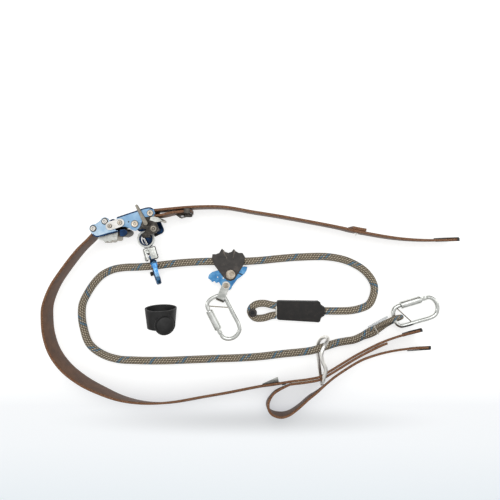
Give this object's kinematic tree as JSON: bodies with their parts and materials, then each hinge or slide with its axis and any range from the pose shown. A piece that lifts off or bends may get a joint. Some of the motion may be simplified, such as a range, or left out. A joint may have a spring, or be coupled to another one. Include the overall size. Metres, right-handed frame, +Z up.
{
  "type": "pole climbing fall restrictor",
  "caption": "Pole strap with channel adjuster, a rope lanyard with a rope grab, a snap hook and locking carabiners, laid flat.",
  "frame": {"origin": "bottom centre of the laid-out object, on the surface it lies on", "axes": "+X towards the rope's carabiner end, +Y towards the adjuster's side, +Z up from the surface"},
  "size_m": [0.8622, 0.4479, 0.0716],
  "materials": {
    "coated_webbing": "brown coated webbing, ribbed across",
    "black_tip": "dull black dipped tips",
    "blue_anodised": "light blue anodised, satin",
    "deep_blue_anodised": "deep blue anodised, satin",
    "dark_steel": "dark phosphated steel",
    "polished_steel": "bright zinc plated steel",
    "copper_rivet": "copper coloured",
    "khaki_rope": "khaki braided rope with blue tracer flecks",
    "black_textile": "black woven sleeve, matt",
    "black_plastic": "black, satin",
    "black_rubber": "black, matt"
  },
  "bodies": {
    "restrictor": {"strap_outer": "coated_webbing", "strap_inner": "coated_webbing", "strap_top": "coated_webbing", "stop_block": "coated_webbing", "tip_upper_tail": "black_tip", "tip_lower_tail": "black_tip", "tip_top_strap": "black_tip", "rear_channel": "blue_anodised", "front_channel": "blue_anodised", "lower_guide": "deep_blue_anodised", "pivot_plate": "dark_steel", "keeper_frame": "dark_steel", "keeper_knob": "dark_steel", "shackle_pin": "dark_steel", "stop_spike": "polished_steel", "wedge_spike": "polished_steel", "strap_ring": "polished_steel", "link_plate_lower": "polished_steel", "link_plate_upper": "polished_steel", "rear_pin_a": "polished_steel", "rear_pin_b": "polished_steel", "link_pin_rear": "polished_steel", "link_pin_front": "polished_steel", "main_pivot_pin": "polished_steel", "front_strap_pin": "polished_steel", "pole_plate": "polished_steel", "end_flange": "polished_steel", "cam_spring": "polished_steel", "grab_rivet": "polished_steel", "rope_main": "khaki_rope", "rope_eye_a": "khaki_rope", "rope_eye_b": "khaki_rope", "eye_b_throat": "khaki_rope", "rope_sleeve": "black_textile", "eye_bushing": "black_plastic", "grab_cover": "black_plastic"},
    "lever": {"release_lever": "polished_steel"},
    "cam": {"strap_cam": "dark_steel"},
    "side_shackle": {"shackle": "dark_steel"},
    "round_eye": {"swivel_eye": "polished_steel"},
    "snap": {"snap_yoke": "polished_steel", "yoke_pin": "polished_steel", "snap_hook": "deep_blue_anodised", "gate_rivet": "copper_rivet", "thumb_lock": "dark_steel"},
    "gate": {"snap_gate": "deep_blue_anodised"},
    "grab": {"grab_cam": "deep_blue_anodised", "grab_link_rivet": "polished_steel"},
    "link": {"grab_link": "polished_steel"},
    "carabiner_a": {"carabiner_a_body": "polished_steel", "carabiner_a_rivet": "dark_steel"},
    "gate_a": {"carabiner_a_gate": "polished_steel"},
    "sleeve_a": {"carabiner_a_sleeve": "polished_steel"},
    "carabiner_b": {"carabiner_b_body": "polished_steel", "carabiner_b_rivet": "dark_steel"},
    "gate_b": {"carabiner_b_gate": "polished_steel"},
    "sleeve_b": {"carabiner_b_sleeve": "polished_steel"},
    "loose_keeper": {"keeper_band": "black_rubber", "keeper_button": "black_rubber"}
  },
  "joints": [
    {"name": "lever_turn", "type": "hinge", "parent": "restrictor", "child": "lever", "pos_m": [-0.211, 0.183, 0], "axis": [0, 0, 1], "range_deg": [-18, 30], "stiffness_Nm_per_rad": 0.1},
    {"name": "cam_turn", "type": "hinge", "parent": "restrictor", "child": "cam", "pos_m": [-0.234, 0.182, 0], "axis": [0, 0, 1], "range_deg": [-12.6, 21]},
    {"name": "shackle_swing", "type": "hinge", "parent": "restrictor", "child": "side_shackle", "pos_m": [-0.195, 0.172, 0], "axis": [0, 0, 1], "range_deg": [-4, 0]},
    {"name": "eye_swing", "type": "hinge", "parent": "side_shackle", "child": "round_eye", "pos_m": [-0.2146, 0.1583, 0], "axis": [0, 0, 1], "range_deg": [-7, 12]},
    {"name": "snap_spin", "type": "hinge", "parent": "round_eye", "child": "snap", "pos_m": [-0.2197, 0.1519, 0.022], "axis": [0.2773, -0.9608, 0], "range_deg": [-3, 25]},
    {"name": "snap_gate_turn", "type": "hinge", "parent": "snap", "child": "gate", "pos_m": [-0.19962, 0.09785, 0.037], "axis": [0.9236, 0.2666, -0.2756], "range_deg": [0, 10], "stiffness_Nm_per_rad": 0.1, "springref_deg": -17.19},
    {"name": "grab_cam_turn", "type": "hinge", "parent": "restrictor", "child": "grab", "pos_m": [-0.041, 0.077, 0], "axis": [0, 0, 1], "range_deg": [-18, 4]},
    {"name": "link_swing", "type": "hinge", "parent": "grab", "child": "link", "pos_m": [-0.0508, 0.0536, 0], "axis": [0, 0, 1], "range_deg": [-30, 10]},
    {"name": "carabiner_a_swing", "type": "hinge", "parent": "link", "child": "carabiner_a", "pos_m": [-0.06135, 0.02875, 0], "axis": [0, 0, 1], "range_deg": [-8, 0]},
    {"name": "carabiner_a_gate_turn", "type": "hinge", "parent": "carabiner_a", "child": "gate_a", "pos_m": [-0.06419, -0.04752, 0.0135], "axis": [0, 0, 1], "range_deg": [-35, 0], "stiffness_Nm_per_rad": 0.1, "springref_deg": 17.19},
    {"name": "carabiner_a_sleeve_turn", "type": "hinge", "parent": "gate_a", "child": "sleeve_a", "pos_m": [-0.06419, -0.04752, 0.0135], "axis": [0.4524, -0.8918, 0], "range_deg": [0, 90]},
    {"name": "carabiner_b_swing", "type": "hinge", "parent": "restrictor", "child": "carabiner_b", "pos_m": [0.3077, -0.0177, 0], "axis": [0, 0, 1], "range_deg": [-4, 18]},
    {"name": "carabiner_b_gate_turn", "type": "hinge", "parent": "carabiner_b", "child": "gate_b", "pos_m": [0.37107, 0.02543, 0.0154], "axis": [0, 0, 1], "range_deg": [0, 35], "stiffness_Nm_per_rad": 0.1, "springref_deg": -17.19},
    {"name": "carabiner_b_sleeve_turn", "type": "hinge", "parent": "gate_b", "child": "sleeve_b", "pos_m": [0.37107, 0.02543, 0.0154], "axis": [0.9583, 0.2857, 0], "range_deg": [0, 90]},
    {"name": "loose_keeper_slide", "type": "slide", "parent": "restrictor", "child": "loose_keeper", "axis": [1, 0, 0], "range_m": [-0.05, 0.05]}
  ],
  "couplings": [
    {"joint": "cam_turn", "follows": "lever_turn", "ratio": 0.7}
  ]
}
